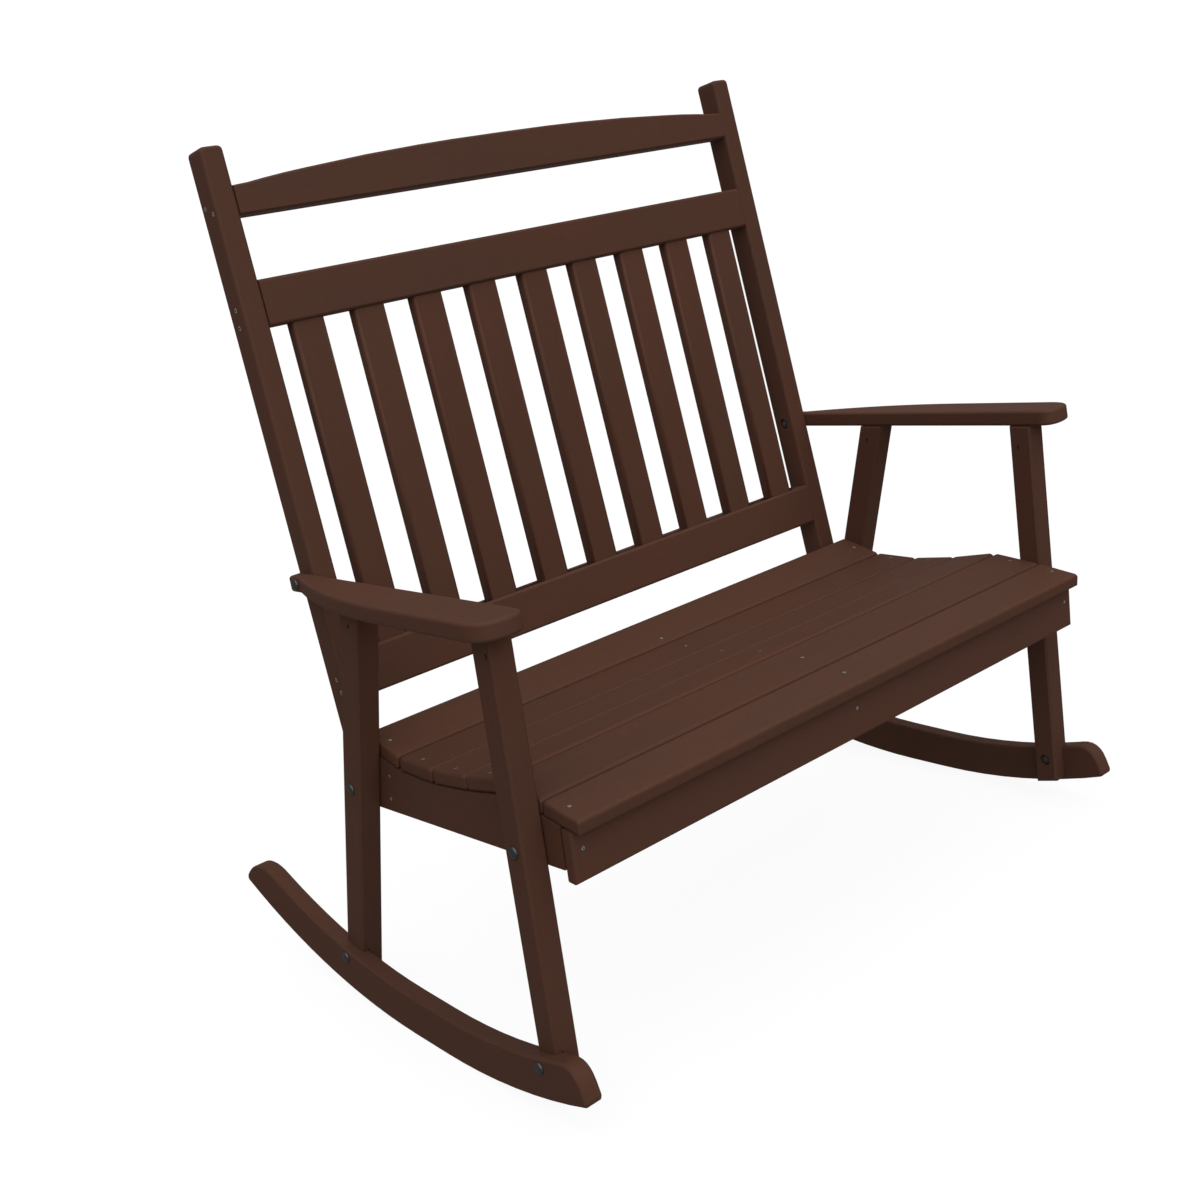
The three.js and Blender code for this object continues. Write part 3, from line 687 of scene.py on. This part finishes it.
def slat_tree(sizes):
    """A row of equal slats along X, each with a rounded section in X and Y, standing along Z."""
    tree, given = new_tree("back slats", sizes)
    box = add(
        tree,
        "GeometryNodeCurvePrimitiveQuadrilateral",
        {"Width": given["Width"], "Height": given["Thickness"]},
        mode="RECTANGLE",
    )
    rounding = {"Curve": box, "Count": SLAT_ROUND_STEPS, "Radius": given["Edge radius"]}
    section = add(tree, "GeometryNodeFilletCurve", rounding, mode="POLY")
    end = add(tree, "GeometryNodeFillCurve", {"Curve": section}, mode="NGONS")
    length = {"Mesh": end, "Offset Scale": given["Length"]}
    grown = add(tree, "GeometryNodeExtrudeMesh", length, mode="FACES")
    other_end = add(tree, "GeometryNodeFlipFaces", {"Mesh": end})
    closed = add(tree, JOIN, {"Geometry": [grown, other_end]})
    slat = add(tree, "GeometryNodeMergeByDistance", {"Geometry": closed, "Distance": WELD})
    step = add(tree, COMBINE, {"X": given["Spacing"]})
    row = add(tree, "GeometryNodeMeshLine", {"Count": given["Count"], "Offset": step})
    slats = add(tree, "GeometryNodeInstanceOnPoints", {"Points": row, "Instance": slat})
    place_in_row = add(tree, "GeometryNodeInputIndex")
    number = add(tree, MATHS, (place_in_row, given["First number"]), operation="ADD")
    numbered = add(
        tree,
        "GeometryNodeStoreNamedAttribute",
        {"Geometry": slats, "Name": "board", "Value": number},
        data_type="FLOAT",
        domain="INSTANCE",
    )
    smooth = add(tree, "GeometryNodeSetShadeSmooth", {"Geometry": numbered})
    finish_tree(tree, smooth, given["Material"])
    return tree


def point_cloud(name, places, lengths=None):
    """Loose points with the direction out of the wood, and a length where their things differ in it."""
    data = bpy.data.meshes.new(name)
    data.from_pydata([tuple(point) for point, _ in places], [], [])
    outward = data.attributes.new("outward", "FLOAT_VECTOR", "POINT")
    outward.data.foreach_set("vector", [number for _, out in places for number in out])
    if lengths:
        data.attributes.new("length", "FLOAT", "POINT").data.foreach_set("value", lengths)
    return put(name, data)


def drop_attributes(thing, *names):
    """Removes attributes that only the making needed."""
    for name in names:
        found = thing.data.attributes.get(name)
        if found:
            thing.data.attributes.remove(found)


# Fasteners


def make_bolts(material):
    """The ten carriage bolts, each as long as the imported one."""
    places, lengths, names = [], [], []
    for place in BOLT_PLACES:
        for side, sign in SIDES.items():
            name = f"{place}_bolt_{side}"
            low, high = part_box(name)
            middle = (low + high) / 2
            head_top, tip = (high.x, low.x) if sign > 0 else (low.x, high.x)
            seat = Vector((head_top - sign * BOLT_HEAD_HEIGHT, middle.y, middle.z))
            places.append((seat, ACROSS * sign))
            lengths.append(abs(seat.x - tip))
            names.append(name)
    # The heads are all alike, so the last box gives their width
    sizes = {
        "Head width": high.z - low.z,
        "Head height": BOLT_HEAD_HEIGHT,
        "Neck width": BOLT_NECK,
        "Neck length": BOLT_NECK_LENGTH,
        "Shank width": BOLT_SHANK,
        "Thread length": THREAD_LENGTH,
        "Thread pitch": THREAD_PITCH,
        "Thread rings": round(THREAD_LENGTH / THREAD_PITCH * THREAD_TURN_STEPS),
        "Thread depth share": THREAD_DEPTH_SHARE,
    }
    bolts = run_tree(point_cloud("carriage_bolts", places, lengths), bolt_tree(sizes), material, sizes)
    dress(bolts, names)


def make_nuts(material):
    """The ten flanged nuts in their pockets, on the inner ends of the bolts."""
    places, names = [], []
    for place in BOLT_PLACES:
        for side, sign in SIDES.items():
            name = f"{place}_nut_{side}"
            low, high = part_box(name)
            middle = (low + high) / 2
            seat = high.x if sign > 0 else low.x
            places.append((Vector((seat, middle.y, middle.z)), ACROSS * -sign))
            names.append(name)
    # The nuts are all alike, so the last box gives their height
    sizes = {
        "Across flats": NUT_FLATS,
        "Height": high.x - low.x,
        "Chamfer": NUT_CHAMFER,
        "Flange width": NUT_FLANGE,
        "Flange height": NUT_FLANGE_HEIGHT,
    }
    nuts = run_tree(point_cloud("flange_nuts", places), nut_tree(sizes), material, sizes)
    dress(nuts, names)


def make_screws(name, screws, head, material):
    """Wood screws with one width of head, a little below the faces that they are driven into."""
    sizes = {
        "Head width": head,
        "Head height": SCREW_HEAD_HEIGHT,
        "Rim height": SCREW_RIM,
        "Drive share": DRIVE_SHARE,
        "Drive depth": DRIVE_DEPTH,
        "Lobe share": DRIVE_LOBE_SHARE,
        "Shank width": SCREW_SHANK,
        "Length": SCREW_LENGTH,
    }
    sunk = [(point - out * SCREW_SINK, out) for point, out in screws]
    dress(run_tree(point_cloud(name, sunk), screw_tree(sizes), material, sizes), [])


def dress(thing, names):
    """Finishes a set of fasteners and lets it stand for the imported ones."""
    drop_attributes(thing, "outward", "length")
    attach(thing, "root")
    if names:
        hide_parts(*names)


# Back slats


def make_back_slats(material, first_number):
    """The nine slats between the middle and the lower rail, in one row."""
    place, size = board_frame(BACK_SLATS[0], AHEAD, UP)
    first = place @ Vector((0, size.y / 2, -size.z / 2))
    low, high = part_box(BACK_SLATS[-1])
    spacing = ((low.x + high.x) / 2 - first.x) / (len(BACK_SLATS) - 1)
    sizes = {
        "Count": len(BACK_SLATS),
        "Spacing": spacing,
        "Width": size.y,
        "Thickness": size.z,
        "Length": size.x,
        "Edge radius": SLAT_ROUND,
        "First number": first_number,
    }
    slats = run_tree(point_cloud("back_slats", []), slat_tree(sizes), material, sizes)
    up_the_back = place.to_3x3() @ ACROSS
    into_the_back = place.to_3x3() @ -UP
    turn = Matrix((ACROSS, into_the_back, up_the_back)).transposed().to_4x4()
    slats.data.transform(Matrix.Translation(first) @ turn)
    shaded = slats.modifiers.new("flat faces kept flat", "WEIGHTED_NORMAL")
    shaded.keep_sharp = True
    settle(slats)
    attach(slats, "root")
    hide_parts(*BACK_SLATS)


# The bench


def leaning(node):
    """The direction that a leaning board runs in."""
    place, _ = board_frame(node, AHEAD, UP)
    return place.to_3x3() @ ACROSS


def make_bench():
    """Every board of the bench, numbered for its patterns, and what holds the boards together."""
    across = poly_lumber("HDPE lumber sawn across the bench", ACROSS)
    lengthwise = poly_lumber("HDPE lumber sawn front to back", -AHEAD)
    stiles = poly_lumber("HDPE lumber of the leaning back", leaning("back_stile_left"))
    front_legs = poly_lumber("HDPE lumber of the front legs", leaning("front_leg_left"))
    rear_legs = poly_lumber("HDPE lumber of the rear legs", leaning("rear_leg_left"))
    # Painted shade: a darker brown on the walls of the drilled holes
    drilled = poly_lumber("HDPE lumber with painted shade inside drilled holes", ACROSS, HOLE_SHADE_BROWN)
    bolt_steel = steel(
        "dark zinc-coated steel",
        "#5C6060",
        metallic=1.0,
        roughness=0.42,
        patch=3 * MM,
        seed=1.0,
    )
    screw_steel = steel(
        "tumbled stainless steel",
        "#969895",
        metallic=0.2,
        roughness=0.5,
        patch=2 * MM,
        seed=5.0,
    )

    seat_places = {"seat_apron": apron_screws()}
    for slat in SEAT_SLATS:
        middle = REAR_MIDDLE_SCREW_SHARE if slat == SEAT_SLATS[-1] else SEAT_SCREW_SHARE
        seat_places[slat] = seat_screws(slat, (SEAT_SCREW_SHARE, middle, SEAT_SCREW_SHARE))
    back_places = {}
    for side in SIDES:
        seat_places["seat_side_beam_" + side] = beam_screws(side)
        back_places["back_stile_" + side] = stile_screws(side)

    boards = {name: across for name in (*SEAT_SLATS, *CROSS_BOARDS)}
    boards["seat_centre_beam"] = lengthwise
    drills = {name: screw_drills(places, SEAT_SCREW_HEAD) for name, places in seat_places.items()}
    drills |= {name: screw_drills(places, BACK_SCREW_HEAD) for name, places in back_places.items()}
    for side in SIDES:
        boards["rocker_" + side] = lengthwise
        boards["arm_" + side] = lengthwise
        boards["seat_side_beam_" + side] = lengthwise
        boards["back_stile_" + side] = stiles
        boards["front_leg_" + side] = front_legs
        boards["rear_leg_" + side] = rear_legs
        for end in ("front", "rear"):
            drills[f"{end}_leg_{side}"] = pocket_drills(end, side)
    for number, (name, material) in enumerate(boards.items()):
        end_round = SLAT_END_ROUND if name in SEAT_SLATS else SAWN_EDGE_ROUND
        finished_board(name, number, material, drilled, drills.get(name, ()), end_round)
    make_back_slats(stiles, len(boards))
    make_bolts(bolt_steel)
    make_nuts(bolt_steel)
    make_screws("seat_screws", sum(seat_places.values(), []), SEAT_SCREW_HEAD, screw_steel)
    make_screws("back_screws", sum(back_places.values(), []), BACK_SCREW_HEAD, screw_steel)


# Floor, light and camera


def make_floor():
    """A plain pale floor under the rockers, a light table of opal plastic."""
    shape = bmesh.new()
    bmesh.ops.create_grid(shape, size=FLOOR_SIZE / 2)
    data = bpy.data.meshes.new("floor")
    shape.to_mesh(data)
    shape.free()
    paint = bpy.data.materials.new("opal plastic light table")
    paint.use_nodes = True
    tree = paint.node_tree
    tree.nodes.clear()
    matt = add(tree, "ShaderNodeBsdfDiffuse", {"Color": (FLOOR_TONE, FLOOR_TONE, FLOOR_TONE, 1)})
    glow = add(tree, "ShaderNodeEmission", {"Strength": FLOOR_GLOW})
    both = add(tree, "ShaderNodeAddShader", (matt, glow))
    add(tree, "ShaderNodeOutputMaterial", {"Surface": both})
    floor = put("floor", data, paint)
    # The bench is lit as in a white tent, with no brighter light thrown up from the floor
    floor.visible_diffuse = False
    floor.visible_glossy = False
    floor.visible_shadow = False


def make_light():
    """A soft main light from above, ahead and a little to the left, a weaker one from behind, a faint one
    from below, and a white fill from all round."""
    on_floor = FILL
    for name, ((height, side), share, shadows) in LIGHTS.items():
        data = bpy.data.lights.new(name, "SUN")
        data.energy = share * math.pi
        data.use_shadow = shadows
        data.angle = math.radians(LIGHT_SPREAD)
        light = bpy.data.objects.new(name, data)
        bpy.context.scene.collection.objects.link(light)
        light.rotation_euler = (math.radians(90 - height), 0, math.radians(side))
        # The sheen of the boards mirrors the main light alone
        light.visible_glossy = (height, side) == MAIN_LIGHT
        on_floor += share * max(0, math.sin(math.radians(height)))

    world = bpy.data.worlds.new("studio")
    world.use_nodes = True
    tree = world.node_tree
    tree.nodes.clear()
    # The fill lights the bench, and the camera sees a backdrop in the floor's own tone instead
    fill = add(tree, "ShaderNodeBackground", {"Color": (1, 1, 1, 1), "Strength": FILL})
    backdrop_tone = FLOOR_GLOW + FLOOR_TONE * on_floor
    backdrop = add(tree, "ShaderNodeBackground", {"Color": (1, 1, 1, 1), "Strength": backdrop_tone})
    seen = add(tree, "ShaderNodeLightPath")
    either = add(tree, "ShaderNodeMixShader", (seen.outputs["Is Camera Ray"], fill, backdrop))
    add(tree, "ShaderNodeOutputWorld", {"Surface": either})
    bpy.context.scene.world = world
    bpy.context.scene.view_settings.view_transform = "Standard"


def make_camera():
    """The photograph's camera."""
    data = bpy.data.cameras.new("camera")
    data.sensor_width = SENSOR
    data.lens = SENSOR * PHOTO_FOCAL_LENGTH / PHOTO_SIZE
    data.shift_x = 0.5 - PHOTO_AXIS[0] / PHOTO_SIZE
    data.shift_y = PHOTO_AXIS[1] / PHOTO_SIZE - 0.5
    camera = bpy.data.objects.new("camera", data)
    bpy.context.scene.collection.objects.link(camera)
    heading = Matrix.Rotation(math.radians(CAMERA_HEADING), 4, "Z")
    dip = Matrix.Rotation(math.radians(90 - CAMERA_DIP), 4, "X")
    roll = Matrix.Rotation(math.radians(CAMERA_ROLL), 4, "Z")
    camera.matrix_world = Matrix.Translation(CAMERA_PLACE) @ heading @ dip @ roll
    bpy.context.scene.camera = camera


make_camera()
make_light()
make_floor()
make_bench()
